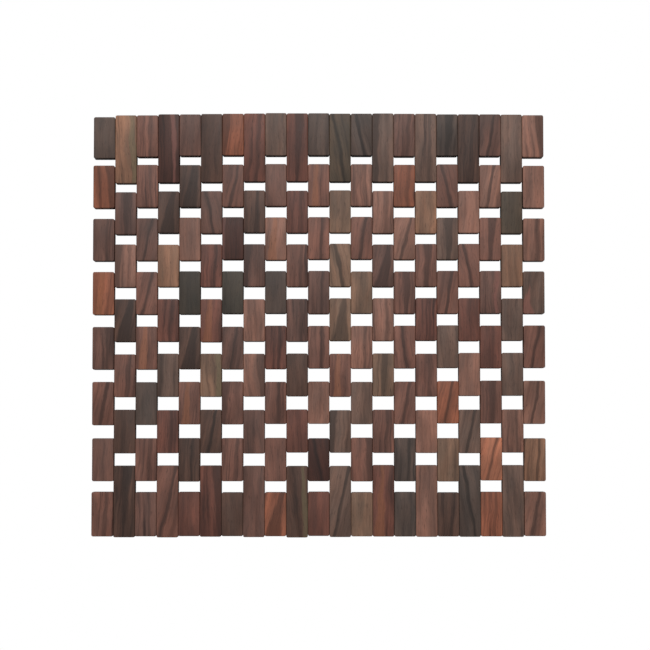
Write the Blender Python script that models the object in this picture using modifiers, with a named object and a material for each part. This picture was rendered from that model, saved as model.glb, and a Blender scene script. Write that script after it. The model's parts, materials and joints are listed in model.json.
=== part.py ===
"""Bath mat of dark rosewood blocks, strung side by side on cords so that it folds at every cord.

Run it with: blender --background --python part.py
Metres, +Z up. X runs along the cords, Y along the blocks, and +Y is the back edge. The origin is the centre of
the underside, and the mat lies flat on Z = 0.

How the mat is put together:
- Odd columns hold short blocks only. Even columns sit half a step out of line with them, and end in a long block
  at the back and at the front, so that both edges come out straight. The gaps that this leaves let water through.
- Each short block has two holes and each long block three. Cord 1 is at the back edge. Every cord runs through
  all the columns, so it is the hinge pin between the row of blocks behind it and the row in front of it.
- The blocks of the odd columns grip their two cords, which end in knots sunk in the outermost blocks. The blocks
  of the even columns turn on those cords in wider holes. At the two edges the short and long blocks share two
  cords, so they stay flat together; there the long blocks grip the second cord.
- Rows are counted from the back: 1, 3, 5 ... are odd columns' short blocks, and 2, 4, 6 ... the even columns'
  blocks, of which the first and the last are long.
"""

from math import pi

import bmesh
import bpy
from mathutils import Matrix, Vector

# ---------------------------------------------------------------- driving dimensions, in metres
COLUMNS = 21  # blocks side by side; odd, so that both sides end in a column of short blocks
SHORT_ROWS = 8  # short blocks in an odd column

BLOCK_WIDTH = 0.0232
BLOCK_THICKNESS = 0.011
BLOCK_CORNER = 0.0018  # the upright edges are cut back by this much
COLUMN_GAP = 0.0006  # between neighbouring columns

HOLE_SPACING = 0.0303  # between the two holes of a short block
END_HOLE_SPACING = 0.0280  # between the second and the third hole of a long block
OVERHANG = 0.0081  # wood past the outer holes
LONG_OVERHANG = 0.0098  # wood past the third hole of a long block
SLACK = 0.0014  # the cords lie this much closer together than the holes at the back, and further at the front

CORD_DIAMETER = 0.0024
HOLE_PLAY = 0.0014  # around a cord in a loose hole, in which a block turns on it
KNOT_STOP = 0.0003  # how far a knot's edge reaches past the edge of a loose hole
KNOT_LENGTH = 0.0034
KNOT_PLAY = 0.0009  # around a knot in the counterbore that it is sunk in
KNOT_SINK = 0.0013  # from the face of the block down to the knot
KNOT_SEAT_GAP = 0.0003  # between a knot and the floor of its recess

ROUND_SIDES = 6  # facets of a cord and its hole
RECESS_SIDES = 8
CUT_MARGIN = 0.002  # how far a cutter runs past what it cuts

# Colour, roughness and metallic value of each kind of rosewood, and what a block of it is called in TONE_PLAN.
WOODS = {
    "B": ("rosewood_brown", (0.126, 0.072, 0.058), 0.55),
    "D": ("rosewood_dark", (0.058, 0.040, 0.035), 0.50),
    "O": ("rosewood_olive", (0.110, 0.082, 0.056), 0.55),
    "R": ("rosewood_red", (0.205, 0.078, 0.048), 0.55),
    "P": ("rosewood_plum", (0.106, 0.056, 0.055), 0.55),
}
# The wood of each loose block: rows 4, 6, 8 ... from the back, each from its left end to its right.
TONE_PLAN = (
    "PDRDROOBRD",
    "BORRBORRRO",
    "DPRBDBRPRP",
    "BOOBDROPBD",
    "BPDPRORPOB",
)

# ---------------------------------------------------------------- sizes that follow from them
CORDS = 2 * SHORT_ROWS
FIRST_HINGE = 3  # the first two and the last two cords lie in the flat edges
LAST_HINGE = CORDS - 2
BLOCK_LENGTH = HOLE_SPACING + 2 * OVERHANG
LONG_BLOCK_LENGTH = OVERHANG + HOLE_SPACING + END_HOLE_SPACING + LONG_OVERHANG
HOLE_DIAMETER = CORD_DIAMETER + 2 * HOLE_PLAY
KNOT_DIAMETER = HOLE_DIAMETER + 2 * KNOT_STOP
RECESS_DIAMETER = KNOT_DIAMETER + 2 * KNOT_PLAY
RECESS_DEPTH = KNOT_SEAT_GAP + KNOT_LENGTH + KNOT_SINK
MAT_WIDTH = COLUMNS * BLOCK_WIDTH + (COLUMNS - 1) * COLUMN_GAP
MAT_LENGTH = 2 * OVERHANG + (CORDS - 3) * HOLE_SPACING + 2 * END_HOLE_SPACING
MID_HEIGHT = BLOCK_THICKNESS / 2


def cord_spacing(cord):
    """From a cord to the next one towards the front. The slack adds up to nothing over the whole mat."""
    hole_spacing = END_HOLE_SPACING if cord in (2, LAST_HINGE) else HOLE_SPACING
    return hole_spacing + SLACK * (2 * (cord - 1) / (CORDS - 2) - 1)


def cord_y(cord):
    """Y of a cord, counted from 1 at the back edge."""
    return MAT_LENGTH / 2 - OVERHANG - sum(cord_spacing(other) for other in range(1, cord))


def column_x(column):
    """X of the middle of a column, counted from 1 at the left."""
    return (column - (COLUMNS + 1) / 2) * (BLOCK_WIDTH + COLUMN_GAP)


def row_columns(row):
    """The columns that hold a row's blocks."""
    return range(1, COLUMNS + 1, 2) if row % 2 else range(2, COLUMNS + 1, 2)


def row_span(row):
    """(Y of the middle, length) of the blocks in a row."""
    if row == 2:
        return (MAT_LENGTH - LONG_BLOCK_LENGTH) / 2, LONG_BLOCK_LENGTH
    if row == CORDS - 2:
        return (LONG_BLOCK_LENGTH - MAT_LENGTH) / 2, LONG_BLOCK_LENGTH
    if row == 1:
        return (MAT_LENGTH - BLOCK_LENGTH) / 2, BLOCK_LENGTH
    if row == CORDS - 1:
        return (BLOCK_LENGTH - MAT_LENGTH) / 2, BLOCK_LENGTH
    return (cord_y(row) + cord_y(row + 1)) / 2, BLOCK_LENGTH


# ---------------------------------------------------------------- scene and materials
def clear_scene():
    for obj in list(bpy.data.objects):
        bpy.data.objects.remove(obj)


def new_collection(name):
    collection = bpy.data.collections.new(name)
    bpy.context.scene.collection.children.link(collection)
    return collection


def wood_material(letter):
    name, colour, roughness = WOODS[letter]
    material = bpy.data.materials.get(name)
    if material is None:
        material = bpy.data.materials.new(name)
        material.use_nodes = True
        shader = material.node_tree.nodes["Principled BSDF"]
        shader.inputs["Base Color"].default_value = (*colour, 1)
        shader.inputs["Roughness"].default_value = roughness
        shader.inputs["Metallic"].default_value = 0
    return material


def link_mesh(name, mesh, collection):
    obj = bpy.data.objects.new(name, mesh)
    collection.objects.link(obj)
    return obj


def helper(name, mesh, collection):
    """An object that only cuts or joins: it is no part of the mat."""
    obj = link_mesh(name, mesh, collection)
    obj.hide_render = True
    obj.display_type = "WIRE"
    return obj


# ---------------------------------------------------------------- shapes
def blocks_mesh(name, centres, length):
    """Blocks with their upright edges cut back, one at each centre, in one mesh."""
    shape = bmesh.new()
    size = Matrix.Diagonal((BLOCK_WIDTH, length, BLOCK_THICKNESS, 1))
    for centre in centres:
        bmesh.ops.create_cube(shape, size=1, matrix=Matrix.Translation(centre) @ size)
    upright = [edge for edge in shape.edges if edge.verts[0].co.xy == edge.verts[1].co.xy]
    bmesh.ops.bevel(
        shape, geom=upright, offset=BLOCK_CORNER, segments=1, profile=0.5, affect="EDGES"
    )
    mesh = bpy.data.meshes.new(name)
    shape.to_mesh(mesh)
    shape.free()
    return mesh


def rods_mesh(name, starts, length, diameter, sides):
    """Round rods along X from each start, in one mesh."""
    shape = bmesh.new()
    along_x = Matrix.Rotation(pi / 2, 4, "Y")
    for start in starts:
        middle = Matrix.Translation(Vector(start) + Vector((length / 2, 0, 0)))
        bmesh.ops.create_cone(
            shape,
            cap_ends=True,
            segments=sides,
            radius1=diameter / 2,
            radius2=diameter / 2,
            depth=length,
            matrix=middle @ along_x,
        )
    mesh = bpy.data.meshes.new(name)
    shape.to_mesh(mesh)
    shape.free()
    return mesh


def knotted_cord(cord, helpers):
    """One cord with the knot at each of its ends, turned about its own axis."""
    knot_out = MAT_WIDTH / 2 - RECESS_DEPTH + KNOT_SEAT_GAP + KNOT_LENGTH
    knot_in = knot_out - KNOT_LENGTH
    half = [
        (knot_out, 0),
        (knot_out, KNOT_DIAMETER / 2),
        (knot_in, KNOT_DIAMETER / 2),
        (knot_in, CORD_DIAMETER / 2),
    ]
    profile = half + [(-x, r) for x, r in reversed(half)]
    mesh = bpy.data.meshes.new(f"cord_{cord:02d}")
    points = [(x, 0, r) for x, r in profile]
    mesh.from_pydata(points, [(i, i + 1) for i in range(len(points) - 1)], [])
    obj = helper(f"cord_{cord:02d}", mesh, helpers)
    obj.location = (0, cord_y(cord), MID_HEIGHT)
    turn = obj.modifiers.new("turn", "SCREW")
    turn.axis = "X"
    turn.steps = turn.render_steps = ROUND_SIDES
    turn.use_merge_vertices = True
    turn.merge_threshold = 0.00001
    turn.use_normal_calculate = True
    return obj


def hole_cutter(cord, helpers):
    """The loose hole for one cord, as a rod through the whole mat."""
    length = MAT_WIDTH + 2 * CUT_MARGIN
    start = (-length / 2, cord_y(cord), MID_HEIGHT)
    mesh = rods_mesh(f"hole_{cord:02d}", [start], length, HOLE_DIAMETER, ROUND_SIDES)
    return helper(f"hole_{cord:02d}", mesh, helpers)


def recess_cutter(row, cords, helpers):
    """The counterbores for the knots in the outer faces of a row's two outermost blocks."""
    length = RECESS_DEPTH + CUT_MARGIN
    left = -MAT_WIDTH / 2 - CUT_MARGIN
    right = MAT_WIDTH / 2 - RECESS_DEPTH
    starts = [(x, cord_y(cord), MID_HEIGHT) for x in (left, right) for cord in cords]
    mesh = rods_mesh(f"recess_{row:02d}", starts, length, RECESS_DIAMETER, RECESS_SIDES)
    return helper(f"recess_{row:02d}", mesh, helpers)


def add_boolean(obj, operation, other):
    modifier = obj.modifiers.new(f"{operation}_{other.name}".lower(), "BOOLEAN")
    modifier.operation = operation
    modifier.solver = "EXACT"
    modifier.object = other


# ---------------------------------------------------------------- sub-parts
def strung_row(name, row, gripped, loose, parts, helpers):
    """A row of blocks as one piece with the cords that it grips, and with loose holes for the others."""
    middle_y, length = row_span(row)
    centres = [(column_x(column), middle_y, MID_HEIGHT) for column in row_columns(row)]
    obj = link_mesh(name, blocks_mesh(name, centres, length), parts)
    obj.data.materials.append(wood_material("B"))
    for cord in loose:
        add_boolean(obj, "DIFFERENCE", hole_cutter(cord, helpers))
    if row % 2:
        add_boolean(obj, "DIFFERENCE", recess_cutter(row, (row, row + 1), helpers))
    for cord in gripped:
        add_boolean(obj, "UNION", knotted_cord(cord, helpers))
    return obj


def loose_block_mesh(parts, helpers):
    """A short block with its two loose holes, centred on the origin."""
    block = link_mesh("loose_block", blocks_mesh("loose_block", [(0, 0, 0)], BLOCK_LENGTH), parts)
    length = BLOCK_WIDTH + 2 * CUT_MARGIN
    starts = [(-length / 2, side * HOLE_SPACING / 2, 0) for side in (-1, 1)]
    holes = rods_mesh("loose_holes", starts, length, HOLE_DIAMETER, ROUND_SIDES)
    add_boolean(block, "DIFFERENCE", helper("loose_holes", holes, helpers))
    bpy.context.view_layer.update()
    graph = bpy.context.evaluated_depsgraph_get()
    mesh = bpy.data.meshes.new_from_object(block.evaluated_get(graph))
    bpy.data.objects.remove(block)
    return mesh


def loose_row(row, block_mesh, woods, parts):
    """The separate blocks of a row in the even columns."""
    middle_y, _ = row_span(row)
    made = []
    for place, column in enumerate(row_columns(row)):
        obj = link_mesh(f"block_row_{row:02d}_column_{column:02d}", block_mesh.copy(), parts)
        obj.data.materials.append(wood_material(woods[place % len(woods)]))
        obj.location = (column_x(column), middle_y, MID_HEIGHT)
        made.append(obj)
    return made


def fold(cord, pieces, behind, parts):
    """Hangs pieces on an empty on a cord's line, about which they turn, and hangs that on the row behind."""
    hinge = bpy.data.objects.new(f"fold_at_cord_{cord:02d}", None)
    hinge.location = (0, cord_y(cord), MID_HEIGHT)
    parts.objects.link(hinge)
    bpy.context.view_layer.update()
    for obj in pieces:
        obj.parent = hinge
        obj.matrix_parent_inverse = hinge.matrix_world.inverted()
    if behind is not None:
        hinge.parent = behind
        hinge.matrix_parent_inverse = behind.matrix_world.inverted()
    return hinge


def build_mat():
    parts = new_collection("bath_mat")
    helpers = new_collection("cutters_and_cords")
    strung_row("row_01_on_cord_01", 1, [1], [2], parts, helpers)
    strung_row("row_02_long_on_cord_02", 2, [2], [1, 3], parts, helpers)

    block_mesh = loose_block_mesh(parts, helpers)
    behind = None
    for row in range(FIRST_HINGE, LAST_HINGE):
        if row % 2:
            name = f"row_{row:02d}_on_cords_{row:02d}_{row + 1:02d}"
            pieces = [strung_row(name, row, [row, row + 1], [], parts, helpers)]
        else:
            pieces = loose_row(row, block_mesh, TONE_PLAN[(row - 4) // 2 % len(TONE_PLAN)], parts)
        behind = fold(row, pieces, behind, parts)
    bpy.data.meshes.remove(block_mesh)

    long_row, end_row = CORDS - 2, CORDS - 1
    long_name = f"row_{long_row:02d}_long_on_cord_{end_row:02d}"
    end_name = f"row_{end_row:02d}_on_cord_{CORDS:02d}"
    pieces = [
        strung_row(long_name, long_row, [end_row], [long_row, CORDS], parts, helpers),
        strung_row(end_name, end_row, [CORDS], [end_row], parts, helpers),
    ]
    fold(LAST_HINGE, pieces, behind, parts)


clear_scene()
build_mat()
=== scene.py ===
"""Bath mat of dark rosewood blocks strung on hidden cords, laid out flat on a pale floor and seen from above."""

import json
import math
import random

import bmesh
import bpy
from mathutils import Matrix, Vector


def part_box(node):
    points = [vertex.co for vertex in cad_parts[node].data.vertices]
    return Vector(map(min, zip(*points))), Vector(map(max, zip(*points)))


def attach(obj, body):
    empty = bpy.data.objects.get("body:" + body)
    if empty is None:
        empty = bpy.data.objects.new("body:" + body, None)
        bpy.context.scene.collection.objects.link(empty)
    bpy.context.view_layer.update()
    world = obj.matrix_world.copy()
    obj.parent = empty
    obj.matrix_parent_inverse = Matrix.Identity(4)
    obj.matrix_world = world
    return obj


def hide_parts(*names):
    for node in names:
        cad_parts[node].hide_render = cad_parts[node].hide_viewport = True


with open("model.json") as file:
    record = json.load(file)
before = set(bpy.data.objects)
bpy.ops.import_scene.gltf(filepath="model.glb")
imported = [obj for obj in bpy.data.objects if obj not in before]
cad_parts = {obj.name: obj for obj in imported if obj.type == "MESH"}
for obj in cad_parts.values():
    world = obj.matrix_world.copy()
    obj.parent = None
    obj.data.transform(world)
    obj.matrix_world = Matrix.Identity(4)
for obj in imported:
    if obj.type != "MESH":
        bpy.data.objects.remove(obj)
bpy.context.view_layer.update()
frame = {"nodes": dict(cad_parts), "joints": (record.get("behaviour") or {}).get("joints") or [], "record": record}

# ---------------------------------------------------------------- the layout of the mat
# The mat is a brick pattern of 21 columns. Odd columns hold eight short blocks. Even columns lie half a step out
# of line, and begin and end with a long block. Rows are counted from the back, odd numbers in odd columns.
columns = 21
last_row = 15
mat_low, mat_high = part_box("row_01_on_cord_01")
mat_width = mat_high.x - mat_low.x
column_pitch = 0.0238


def row_nodes(row):
    return sorted(name for name in frame["nodes"] if f"row_{row:02d}_" in name)


def row_span(row):
    """The lowest and highest Y of the blocks in a row."""
    low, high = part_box(row_nodes(row)[0])
    return low.y, high.y


# ---------------------------------------------------------------- the cords' lines
# Sixteen cords run from side to side through the blocks. The first two and the last two lie in the flat edges, and
# each of the others is a hinge line, so its place is the joint's. Slack makes the back ones lie closer together.
cord_inset = 0.0081
first_spacing = 0.0289
last_spacing = 0.0317
mid_height = (mat_low.z + mat_high.z) / 2

cord_y = {int(joint["name"][-2:]): joint["pos_m"][1] for joint in frame["joints"]}
cord_y[1] = row_span(1)[1] - cord_inset
cord_y[2] = cord_y[1] - first_spacing
cord_y[16] = row_span(last_row)[0] + cord_inset
cord_y[15] = cord_y[16] + last_spacing

# ---------------------------------------------------------------- block shapes
# Each block is a sawn and sanded strip of rosewood with its upright corners rounded and all its edges eased. It is
# drilled through for its cords, and the blocks at the two sides are counterbored for the cords' knots.
block_width = 0.02375
corner_radius = 0.0019
edge_radius = 0.0008
hole_radius = 0.0026
hole_spacing = 0.0303
recess_radius = 0.0038
recess_depth = 0.0050
thickness = mat_high.z - mat_low.z


def drill(name, length, radius, x, y):
    """A round cutter along X that starts at x."""
    shape = bmesh.new()
    place = Matrix.Translation((x + length / 2, y, 0)) @ Matrix.Rotation(math.pi / 2, 4, "Y")
    bmesh.ops.create_cone(
        shape, cap_ends=True, segments=20, radius1=radius, radius2=radius, depth=length, matrix=place
    )
    mesh = bpy.data.meshes.new(name)
    shape.to_mesh(mesh)
    shape.free()
    cutter = bpy.data.objects.new(name, mesh)
    bpy.context.scene.collection.objects.link(cutter)
    return cutter


def sawn_block(length):
    """A plain block, centred on the origin, with rounded corners and eased edges."""
    shape = bmesh.new()
    size = Matrix.Diagonal((block_width, length, thickness, 1))
    bmesh.ops.create_cube(shape, size=1, matrix=size)
    upright = [edge for edge in shape.edges if abs(edge.verts[0].co.z - edge.verts[1].co.z) > thickness / 2]
    bmesh.ops.bevel(
        shape, geom=upright, offset=corner_radius, segments=4, profile=0.5, affect="EDGES", material=-1
    )
    rims = [edge for edge in shape.edges if abs(edge.verts[0].co.z - edge.verts[1].co.z) < thickness / 2]
    bmesh.ops.bevel(shape, geom=rims, offset=edge_radius, segments=3, profile=0.5, affect="EDGES", material=-1)
    mesh = bpy.data.meshes.new("sawn_block")
    shape.to_mesh(mesh)
    shape.free()
    return mesh


drilled = {}


def drilled_block(length, holes, side):
    """A block with holes at the given Y, and with recesses in its left (-1) or right (1) face."""
    key = (round(length, 5), tuple(round(y, 5) for y in holes), side)
    if key in drilled:
        return drilled[key]
    block = bpy.data.objects.new("blank", sawn_block(length))
    bpy.context.scene.collection.objects.link(block)
    through = block_width + 0.004
    cutters = [drill("hole", through, hole_radius, -through / 2, y) for y in holes]
    if side:
        outside = 0.002
        start = block_width / 2 - recess_depth if side > 0 else -block_width / 2 - outside
        cutters += [drill("recess", recess_depth + outside, recess_radius, start, y) for y in holes]
    for cutter in cutters:
        cut = block.modifiers.new("cut", "BOOLEAN")
        cut.operation = "DIFFERENCE"
        cut.solver = "EXACT"
        cut.object = cutter
    bpy.context.view_layer.update()
    evaluated = block.evaluated_get(bpy.context.evaluated_depsgraph_get())
    drilled[key] = bpy.data.meshes.new_from_object(evaluated)
    for obj in [block, *cutters]:
        bpy.data.objects.remove(obj)
    return drilled[key]


# ---------------------------------------------------------------- rosewood
# Indonesian rosewood runs from tan and terracotta sapwood to plum and charcoal heartwood, with dark stripes along
# the grain. It is rubbed with oil, so it shines only softly. These are its tones, as linear RGB.
tones = {
    "K": ("near_black", (0.044, 0.016, 0.011)),
    "C": ("charcoal", (0.066, 0.046, 0.038)),
    "V": ("dark_olive", (0.066, 0.046, 0.031)),
    "N": ("slate", (0.040, 0.032, 0.024)),
    "D": ("dark_brown", (0.068, 0.036, 0.026)),
    "P": ("plum", (0.106, 0.054, 0.042)),
    "R": ("red_brown", (0.109, 0.043, 0.031)),
    "M": ("mid_brown", (0.142, 0.065, 0.048)),
    "G": ("taupe", (0.114, 0.070, 0.054)),
    "B": ("pink_brown", (0.190, 0.095, 0.070)),
    "L": ("olive", (0.154, 0.092, 0.062)),
    "Y": ("golden_tan", (0.204, 0.108, 0.068)),
    "T": ("terracotta", (0.206, 0.073, 0.041)),
    "A": ("pale_terracotta", (0.335, 0.128, 0.074)),
}
# What each figure letter means: the stripes' strength, the lean of the grain (sideways for each metre along the
# block), and a band of another colour, by its strength, its colour (none is the wood's own, darkened), its place
# from the middle and its half width in metres, and how much wider it gets for each metre along the block.
figures = {
    ".": (0.55, 0.00, 0.0, None, 0.0000, 0.0010, 0.00),
    "s": (1.15, 0.03, 0.6, None, 0.0040, 0.0006, 0.00),
    "l": (0.75, 0.04, 0.8, None, -0.0090, 0.0030, 0.04),
    "r": (0.75, -0.04, 0.8, None, 0.0090, 0.0032, 0.04),
    "m": (0.85, 0.05, 0.8, None, 0.0012, 0.0022, 0.05),
    "d": (0.60, 0.20, 0.9, None, 0.0010, 0.0005, 0.00),
    "b": (0.60, -0.18, 0.9, None, -0.0010, 0.0006, 0.00),
    "h": (0.70, 0.16, 0.8, None, 0.0020, 0.0040, -0.12),
    "p": (0.90, 0.03, 0.6, (0.190, 0.075, 0.060), 0.0060, 0.0006, 0.02),
    "q": (0.80, 0.03, 0.6, (0.140, 0.060, 0.048), -0.0105, 0.0012, 0.02),
    "o": (0.80, 0.06, 0.45, (0.250, 0.092, 0.042), -0.0030, 0.0020, -0.06),
    "g": (0.80, -0.06, 0.6, (0.130, 0.100, 0.055), 0.0085, 0.0022, -0.04),
    "w": (0.60, 0.10, 0.7, (0.210, 0.085, 0.065), -0.0060, 0.0004, -0.26),
}
# The tone and the figure of each block, row by row from the back, and from the left in each row.
laying_plan = {
    1: "C. Ms P. Tl G. C. Cb Ps Cm Pd Br",
    2: "Yg Kp D. Rs Rm Vb Gl Gs Ds G.",
    3: "Tr Ms Dh Md P. Mo Bs Ts Mb Bd B.",
    4: "Pm Dh Pb Ds Rs L. Bs Y. B. V.",
    5: "Ps Pd B. Kq Bo Ms Md Bd Gm Mm Bs",
    6: "Bl Y. Rs Pl Ms Lb Ph Mm Mb Y.",
    7: "To Md N. N. C. Ps L. Mm Md Pp Gw",
    8: "Dh Rs Ro B. Ps Lh Bs Rs R. G.",
    9: "Ps Mo Dh Pd Rs Ms Bs Mb G. R. Md",
    10: "Ms Gl Lg Br D. Mo Lm Ms B. G.",
    11: "Md C. Mo Ml Ms B. G. Md Td Mm Bd",
    12: "D. Rs Dd P. R. Gl Ms B. Gd Bs",
    13: "P. Ms Ds Ms M. Kb Mr Cs L. Ad Ys",
    14: "Dm Md Rr P. Dg Gd Ro B. Cb G.",
    15: "Ms Ps R. D. Th R. L. C. Ds Ts Bd",
}


def socket(group, name, kind, way):
    return group.interface.new_socket(name=name, socket_type=kind, in_out=way)


def node(tree, kind, **settings):
    made = tree.nodes.new(kind)
    for name, value in settings.items():
        setattr(made, name, value)
    return made


def maths(tree, operation, first, second=None, third=None, clamp=False):
    made = node(tree, "ShaderNodeMath", operation=operation, use_clamp=clamp)
    for place, value in enumerate((first, second, third)):
        if value is None:
            continue
        if isinstance(value, (int, float)):
            made.inputs[place].default_value = value
        else:
            tree.links.new(value, made.inputs[place])
    return made.outputs[0]


def noise(tree, place, stretch, detail):
    """Noise on a place that is stretched by the given scales."""
    scaled = node(tree, "ShaderNodeVectorMath", operation="MULTIPLY")
    tree.links.new(place, scaled.inputs[0])
    scaled.inputs[1].default_value = stretch
    made = node(tree, "ShaderNodeTexNoise")
    made.inputs["Scale"].default_value = 1
    made.inputs["Detail"].default_value = detail
    made.inputs["Roughness"].default_value = 0.55
    tree.links.new(scaled.outputs[0], made.inputs["Vector"])
    return made.outputs["Fac"]


def mapped(tree, value, low, high, to_low=0.0, to_high=1.0):
    made = node(tree, "ShaderNodeMapRange", interpolation_type="SMOOTHSTEP")
    tree.links.new(value, made.inputs["Value"])
    for name, number in (("From Min", low), ("From Max", high), ("To Min", to_low), ("To Max", to_high)):
        if isinstance(number, (int, float)):
            made.inputs[name].default_value = number
        else:
            tree.links.new(number, made.inputs[name])
    return made.outputs["Result"]


def mixed(tree, factor, first, second, blend="MIX"):
    made = node(tree, "ShaderNodeMix", data_type="RGBA", blend_type=blend)
    ends = ((made.inputs[0], factor), (made.inputs[6], first), (made.inputs[7], second))
    for end, value in ends:
        if isinstance(value, (int, float)):
            end.default_value = value
        elif isinstance(value, tuple):
            end.default_value = value
        else:
            tree.links.new(value, end)
    return made.outputs[2]


def attribute(tree, name, output):
    return node(tree, "ShaderNodeAttribute", attribute_name=name).outputs[output]


def rosewood_group():
    """Stripes, a coloured band, fibres and pores, laid along each block's own grain."""
    group = bpy.data.node_groups.new("rosewood_grain", "ShaderNodeTree")
    socket(group, "Wood", "NodeSocketColor", "INPUT")
    socket(group, "Color", "NodeSocketColor", "OUTPUT")
    socket(group, "Roughness", "NodeSocketFloat", "OUTPUT")
    socket(group, "Height", "NodeSocketFloat", "OUTPUT")
    given = group.nodes.new("NodeGroupInput")
    result = group.nodes.new("NodeGroupOutput")

    plank = node(group, "ShaderNodeSeparateXYZ")
    group.links.new(attribute(group, "plank", "Vector"), plank.inputs[0])
    along = plank.outputs["Y"]
    seed = attribute(group, "seed", "Fac")

    # Where a point lies across the grain, which leans and wanders a little from side to side.
    moved = node(group, "ShaderNodeVectorMath", operation="ADD")
    group.links.new(attribute(group, "plank", "Vector"), moved.inputs[0])
    away = node(group, "ShaderNodeCombineXYZ")
    for end in away.inputs:
        group.links.new(seed, end)
    group.links.new(away.outputs[0], moved.inputs[1])
    wander = noise(group, moved.outputs[0], (70, 30, 70), 2)
    bend = maths(group, "MULTIPLY", maths(group, "SUBTRACT", wander, 0.5), 0.007)
    leaning = maths(group, "MULTIPLY", along, attribute(group, "lean", "Fac"))
    across = maths(group, "ADD", maths(group, "SUBTRACT", plank.outputs["X"], leaning), bend)

    grain = node(group, "ShaderNodeCombineXYZ")
    for end, part in zip(grain.inputs, (across, along, plank.outputs["Z"])):
        group.links.new(maths(group, "ADD", part, seed), end)
    place = grain.outputs[0]
    tide = noise(group, place, (60, 16, 40), 1)
    clouds = noise(group, place, (130, 26, 60), 2)
    rings = noise(group, place, (300, 9, 110), 3)
    fine_rings = noise(group, place, (1100, 14, 400), 2)
    fibres = noise(group, place, (2600, 80, 900), 3)
    pores = noise(group, place, (1500, 130, 1200), 2)

    # The wood is paler and redder in its clouds, and darker and cooler in its rings.
    cloud = mapped(group, clouds, 0.28, 0.72)
    tinted = mixed(group, cloud, (1.34, 1.22, 1.14, 1), (1.04, 1.05, 1.04, 1))
    wood = mixed(group, 1.0, given.outputs["Wood"], tinted, "MULTIPLY")
    wood = mixed(group, 1.0, wood, mapped(group, tide, 0.30, 0.70, 0.76, 1.22), "MULTIPLY")
    ring = maths(group, "MULTIPLY", mapped(group, rings, 0.40, 0.80), attribute(group, "stripes", "Fac"), clamp=True)
    wood = mixed(group, ring, wood, mixed(group, 1.0, wood, (0.32, 0.30, 0.31, 1), "MULTIPLY"))
    fine = maths(group, "MULTIPLY", mapped(group, fine_rings, 0.50, 0.74), 0.20)
    wood = mixed(group, fine, wood, mixed(group, 1.0, wood, (0.50, 0.46, 0.46, 1), "MULTIPLY"))

    # The band, with frayed edges.
    band = node(group, "ShaderNodeSeparateXYZ")
    group.links.new(attribute(group, "band", "Vector"), band.inputs[0])
    half_width = maths(group, "MULTIPLY_ADD", along, band.outputs["Z"], band.outputs["Y"])
    from_band = maths(group, "ABSOLUTE", maths(group, "SUBTRACT", across, band.outputs["X"]))
    frayed = maths(group, "MULTIPLY_ADD", maths(group, "SUBTRACT", fine_rings, 0.5), 0.004, from_band)
    soft_edge = maths(group, "ADD", half_width, 0.0026)
    tint = node(group, "ShaderNodeAttribute", attribute_name="band_tint")
    in_band = maths(group, "MULTIPLY", mapped(group, frayed, half_width, soft_edge, 1.0, 0.0), tint.outputs["Alpha"])
    wood = mixed(group, in_band, wood, tint.outputs["Color"])

    # Fibres, open pores, and the end grain, which soaks up more oil and is darker. The sawn sides are darkened too,
    # as painted shade in the gaps between columns.
    wood = mixed(group, 1.0, wood, mapped(group, fibres, 0.25, 0.75, 0.84, 1.14), "MULTIPLY")
    pore = mapped(group, pores, 0.60, 0.70)
    wood = mixed(group, maths(group, "MULTIPLY", pore, 0.45), wood, (0.016, 0.009, 0.007, 1))
    # End faces darken as real end grain; the long sides darken as painted shade between columns.
    end_grain = maths(group, "MULTIPLY_ADD", attribute(group, "end_grain", "Fac"), -0.42, 1.0)
    wood = mixed(group, 1.0, wood, end_grain, "MULTIPLY")

    roughness = maths(group, "MULTIPLY_ADD", fibres, 0.24, 0.40)
    height = maths(group, "MULTIPLY_ADD", pore, -0.8, fibres)
    group.links.new(wood, result.inputs["Color"])
    group.links.new(roughness, result.inputs["Roughness"])
    group.links.new(height, result.inputs["Height"])
    return group


grain_group = rosewood_group()


def rosewood(name, wood):
    material = bpy.data.materials.new(f"rosewood_{name}")
    material.use_nodes = True
    tree = material.node_tree
    shader = tree.nodes["Principled BSDF"]
    shader.inputs["Specular IOR Level"].default_value = 0.28
    grain = node(tree, "ShaderNodeGroup", node_tree=grain_group)
    grain.inputs["Wood"].default_value = (*wood, 1)
    bump = node(tree, "ShaderNodeBump")
    bump.inputs["Strength"].default_value = 0.35
    bump.inputs["Distance"].default_value = 0.0001
    tree.links.new(grain.outputs["Color"], shader.inputs["Base Color"])
    tree.links.new(grain.outputs["Roughness"], shader.inputs["Roughness"])
    tree.links.new(grain.outputs["Height"], bump.inputs["Height"])
    tree.links.new(bump.outputs["Normal"], shader.inputs["Normal"])
    return material


rosewoods = {letter: rosewood(*tone) for letter, tone in tones.items()}

# ---------------------------------------------------------------- laying the blocks
# The blocks are cut by hand, so each is a little long or short and lies a little askew on its cords. The outer ones
# of the back rows lie nearer the front, the middle rows slant, and the back edge sags at its left end. Each block's
# mesh carries its grain's place, lean and figure as attributes.
length_play = 0.0004
place_play = 0.0003
side_play = 0.0006
turn_play = math.radians(0.03)
drift = 0.0010
droop = 0.0034
droop_fade = 0.9  # for each column
droop_shares = {1: 0.75, 2: 0.4}  # how much of the cords' droop the blocks of a row follow
droop_cut = 0.27  # how much of it is cut off their near ends, which leaves room for the fold at the third cord
drooping_cords = (1, 2)
# How much longer than usual a row's blocks are at the back and at the front.
usual_trim = (0.0000, 0.0009)
trims = {
    1: (0.0014, -0.0008),
    2: (0.0015, -0.0013),
    12: (-0.0003, 0.0016),
    13: (0.0000, 0.0013),
    14: (0.0012, 0.0013),
    15: (0.0016, 0.0003),
}
by_hand = random.Random(19)

body_of_node = {}
for body, members in frame["record"]["behaviour"]["bodies"].items():
    for member in members:
        body_of_node[member] = body


def columns_of(row):
    return range(1, columns + 1, 2) if row % 2 else range(2, columns + 1, 2)


def column_x(column):
    return (column - (columns + 1) / 2) * column_pitch


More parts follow.
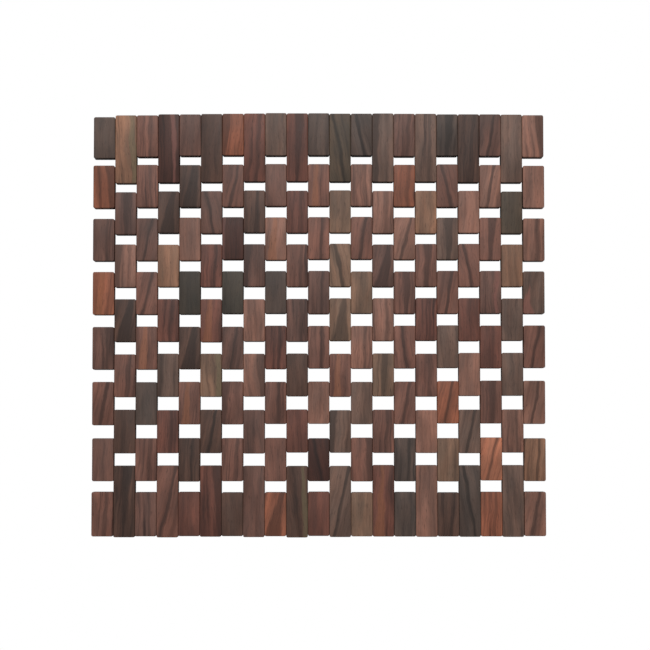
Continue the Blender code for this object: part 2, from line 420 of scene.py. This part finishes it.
def node_for(row, column):
    """The CAD node that holds a block: a node of its own, or its whole row's."""
    nodes = row_nodes(row)
    return nodes[list(columns_of(row)).index(column)] if len(nodes) > 1 else nodes[0]


def droop_at(x):
    """How far the cords of the back edge hang towards the front at x."""
    return -droop * math.exp(-droop_fade * (x / column_pitch + (columns - 1) / 2))


def drift_of(row, column):
    """How far a block lies off its row's line, apart from chance."""
    aside = column_x(column) / (mat_width / 2)
    back = max(0, min(1, (8 - row) / 4))
    middle = max(0, 1 - abs(row - 9) / 5)
    shift = drift * (back * (1 - 2 * aside**2) + middle * aside)
    return shift + droop_shares.get(row, 0) * droop_at(column_x(column))


def set_attribute(mesh, name, kind, value):
    layer = mesh.attributes.new(name, kind, "POINT")
    key = {"FLOAT": "value", "FLOAT_VECTOR": "vector", "FLOAT_COLOR": "color"}[kind]
    size = 1 if kind == "FLOAT" else len(value)
    values = [value] if size == 1 else list(value)
    layer.data.foreach_set(key, values * len(mesh.vertices))


def lay_block(row, column):
    low, high = row_span(row)
    length = high - low
    middle = (low + high) / 2
    inside = [y for y in sorted(cord_y.values()) if low < y < high]
    nominal = [-hole_spacing / 2, hole_spacing / 2]
    holes = nominal if 2 < row < last_row - 1 else [y - middle for y in inside]
    side = {1: -1, columns: 1}.get(column, 0)
    mesh = drilled_block(length, holes, side).copy()
    mesh.name = f"rosewood_row_{row:02d}_column_{column:02d}"

    plank = mesh.attributes.new("plank", "FLOAT_VECTOR", "POINT")
    plank.data.foreach_set("vector", [number for vertex in mesh.vertices for number in vertex.co])
    tone, figure = laying_plan[row].split()[list(columns_of(row)).index(column)]
    stripes, lean, strength, tint, band_place, half_width, widening = figures[figure]
    if tint is None:
        tint = [channel * 0.38 for channel in tones[tone][1]]
    end_face, side_face = length / 2 - edge_radius / 2, block_width / 2 - edge_radius / 3
    # End faces are marked 1 for darker end grain; the long sides are marked 0.9 as painted shade in the gaps between
    # columns.
    ends = mesh.attributes.new("end_grain", "FLOAT", "POINT")
    for vertex, end in zip(mesh.vertices, ends.data):
        end.value = 1.0 if abs(vertex.co.y) > end_face else 0.9 if abs(vertex.co.x) > side_face else 0.0
    set_attribute(mesh, "seed", "FLOAT", by_hand.uniform(1, 9))
    set_attribute(mesh, "lean", "FLOAT", lean + by_hand.uniform(-0.05, 0.05))
    set_attribute(mesh, "stripes", "FLOAT", stripes)
    set_attribute(mesh, "band", "FLOAT_VECTOR", (band_place, half_width, widening))
    set_attribute(mesh, "band_tint", "FLOAT_COLOR", (*tint, strength))

    back, front = (trim + by_hand.uniform(-length_play, length_play) for trim in trims.get(row, usual_trim))
    if row == 1:
        front += droop_cut * droop_at(column_x(column))
    for vertex in mesh.vertices:
        if abs(vertex.co.y) > length / 2 - corner_radius * 1.01:
            vertex.co.y += back if vertex.co.y > 0 else -front
    x = column_x(column) + side * by_hand.uniform(0, side_play)
    y = middle + drift_of(row, column) + by_hand.uniform(-place_play, place_play)
    place = Vector((x, y, mid_height))
    turn = Matrix.Rotation(by_hand.uniform(-turn_play, turn_play), 4, "Z")
    mesh.transform(Matrix.Translation(place) @ turn)
    mesh.shade_smooth()
    mesh.set_sharp_from_angle(angle=math.radians(40))
    mesh.materials.clear()
    mesh.materials.append(rosewoods[tone])

    block = bpy.data.objects.new(mesh.name, mesh)
    bpy.context.scene.collection.objects.link(block)
    cad_node = node_for(row, column)
    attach(block, body_of_node[cad_node])
    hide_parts(cad_node)


for row in range(1, last_row + 1):
    for column in columns_of(row):
        lay_block(row, column)

# ---------------------------------------------------------------- cords and knots
# The cords are dark braided nylon. The short blocks of the odd columns grip them, and each ends in an overhand
# knot that is pulled into the recess in the outermost block, so that nothing of it stands out at the side.
cord_radius = 0.0012
knot_radius = 0.0019
knot_cord_radius = 0.00088
knot_middle = mat_width / 2 - recess_depth + 0.0021
braid_pitch = 0.0022


def braid_material():
    material = bpy.data.materials.new("braided_cord")
    material.use_nodes = True
    tree = material.node_tree
    shader = tree.nodes["Principled BSDF"]
    shader.inputs["Roughness"].default_value = 0.75
    shader.inputs["Sheen Weight"].default_value = 0.25
    braid = attribute(tree, "braid", "Vector")
    strands = node(tree, "ShaderNodeSeparateXYZ")
    tree.links.new(braid, strands.inputs[0])
    heights = []
    for way in (1, -1):
        turned = maths(tree, "MULTIPLY_ADD", strands.outputs["X"], way, strands.outputs["Y"])
        heights.append(maths(tree, "SINE", maths(tree, "MULTIPLY", turned, 2 * math.pi)))
    height = maths(tree, "MAXIMUM", *heights)
    # The braid is painted darker where its strands lie low, as painted shade in the grooves between them.
    colour = mixed(tree, mapped(tree, height, -0.4, 1.0), (0.012, 0.009, 0.007, 1), (0.060, 0.046, 0.036, 1))
    bump = node(tree, "ShaderNodeBump")
    bump.inputs["Distance"].default_value = 0.00015
    tree.links.new(height, bump.inputs["Height"])
    tree.links.new(colour, shader.inputs["Base Color"])
    tree.links.new(bump.outputs["Normal"], shader.inputs["Normal"])
    return material


braided_cord = braid_material()


def finish_cord(name, mesh, cad_node):
    mesh.shade_smooth()
    mesh.materials.append(braided_cord)
    piece = bpy.data.objects.new(name, mesh)
    bpy.context.scene.collection.objects.link(piece)
    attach(piece, body_of_node[cad_node])
    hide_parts(cad_node)


def add_cord(cord, cad_node):
    """The straight run of a cord from knot to knot, with its braid counted along and around it."""
    length = 2 * (knot_middle - knot_radius / 2)
    shape = bmesh.new()
    bmesh.ops.create_cone(
        shape, cap_ends=True, segments=12, radius1=cord_radius, radius2=cord_radius, depth=length
    )
    if cord in drooping_cords:
        runs = [edge for edge in shape.edges if edge.calc_length() > length / 2]
        bmesh.ops.subdivide_edges(shape, edges=runs, cuts=2 * columns)
    mesh = bpy.data.meshes.new(f"cord_{cord:02d}")
    shape.to_mesh(mesh)
    shape.free()
    braid = mesh.attributes.new("braid", "FLOAT_VECTOR", "POINT")
    counts = []
    for vertex in mesh.vertices:
        around = math.atan2(vertex.co.y, vertex.co.x) / math.pi
        counts += [around, vertex.co.z / braid_pitch, 0]
    braid.data.foreach_set("vector", counts)
    place = Matrix.Translation((0, cord_y[cord], mid_height))
    mesh.transform(place @ Matrix.Rotation(math.pi / 2, 4, "Y"))
    if cord in drooping_cords:
        for vertex in mesh.vertices:
            vertex.co.y += droop_at(vertex.co.x)
    finish_cord(mesh.name, mesh, cad_node)


def add_knot(cord, side, cad_node):
    """An overhand knot, as a closed trefoil of the cord that is pulled tight."""
    curve = bpy.data.curves.new(f"knot_{cord:02d}_{'left' if side < 0 else 'right'}", "CURVE")
    curve.dimensions = "3D"
    curve.bevel_depth = knot_cord_radius
    curve.bevel_resolution = 2
    spline = curve.splines.new("POLY")
    steps = 36
    spline.points.add(steps - 1)
    spline.use_cyclic_u = True
    for step, point in enumerate(spline.points):
        angle = 2 * math.pi * step / steps
        reach = knot_radius * (2 + math.cos(3 * angle)) / 3
        x = knot_radius * 0.45 * math.sin(3 * angle)
        point.co = (side * x, reach * math.cos(2 * angle), reach * math.sin(2 * angle), 1)
    holder = bpy.data.objects.new(curve.name, curve)
    bpy.context.scene.collection.objects.link(holder)
    bpy.context.view_layer.update()
    evaluated = holder.evaluated_get(bpy.context.evaluated_depsgraph_get())
    mesh = bpy.data.meshes.new_from_object(evaluated)
    mesh.name = curve.name
    bpy.data.objects.remove(holder)
    braid = mesh.attributes.new("braid", "FLOAT_VECTOR", "POINT")
    counts = []
    for vertex in mesh.vertices:
        counts += [math.atan2(vertex.co.z, vertex.co.y) * 2, vertex.co.x / braid_pitch, 0]
    braid.data.foreach_set("vector", counts)
    y = cord_y[cord] + (droop_at(side * knot_middle) if cord in drooping_cords else 0)
    mesh.transform(Matrix.Translation((side * knot_middle, y, mid_height)))
    finish_cord(mesh.name, mesh, cad_node)


def gripping_row(cord):
    """The row of blocks that grips a cord. The long blocks of both edges grip the inner one of its two."""
    return {2: 2, 15: 14, 16: 15}.get(cord, cord if cord % 2 else cord - 1)


for cord in sorted(cord_y):
    cad_node = row_nodes(gripping_row(cord))[0]
    add_cord(cord, cad_node)
    for side in (-1, 1):
        add_knot(cord, side, cad_node)

# ---------------------------------------------------------------- floor, light and camera
# A plain pale floor under a large soft light that stands behind the mat, so that the blocks' near ends are dark. The
# floor throws light back but is clear to the camera, so that the rows that fold down past it can still be seen.
floor_size = 6.0


def pale_floor():
    bpy.ops.mesh.primitive_plane_add(size=floor_size, location=(0, 0, -0.0002))
    floor = bpy.context.object
    floor.name = "floor"
    material = bpy.data.materials.new("pale_floor")
    material.use_nodes = True
    shader = material.node_tree.nodes["Principled BSDF"]
    shader.inputs["Base Color"].default_value = (0.5, 0.5, 0.5, 1)
    shader.inputs["Roughness"].default_value = 0.9
    shader.inputs["Specular IOR Level"].default_value = 0.0
    floor.data.materials.append(material)
    floor.visible_camera = False


def soft_light(name, place, target, size, watts):
    light = bpy.data.lights.new(name, "AREA")
    light.shape = "DISK"
    light.size = size
    light.energy = watts
    lamp = bpy.data.objects.new(name, light)
    lamp.location = place
    lamp.rotation_euler = (Vector(target) - Vector(place)).to_track_quat("-Z", "Y").to_euler()
    bpy.context.scene.collection.objects.link(lamp)


def white_studio(strength):
    """A studio that is plain white to the camera, and lights the mat with the given strength."""
    world = bpy.data.worlds.new("studio")
    bpy.context.scene.world = world
    world.use_nodes = True
    tree = world.node_tree
    background = tree.nodes["Background"]
    background.inputs["Color"].default_value = (1, 1, 1, 1)
    path = tree.nodes.new("ShaderNodeLightPath")
    seen = mapped(tree, path.outputs["Is Camera Ray"], 0.0, 1.0, strength, 1.0)
    tree.links.new(seen, background.inputs["Strength"])


pale_floor()
soft_light("key_light", (-0.35, 2.4, 3.0), (0, 0, 0), 2.2, 104)
white_studio(0.45)
bpy.context.scene.view_settings.view_transform = "Standard"

camera_data = bpy.data.cameras.new("camera")
camera_data.lens = 79.75
camera_data.sensor_width = 36.0
camera_data.shift_x = 0.0097
camera_data.shift_y = 0.08
camera = bpy.data.objects.new("camera", camera_data)
camera.location = (0, -0.1217, 1.6)
camera.rotation_euler = (math.radians(2.293), 0, 0)
bpy.context.scene.collection.objects.link(camera)
bpy.context.scene.camera = camera
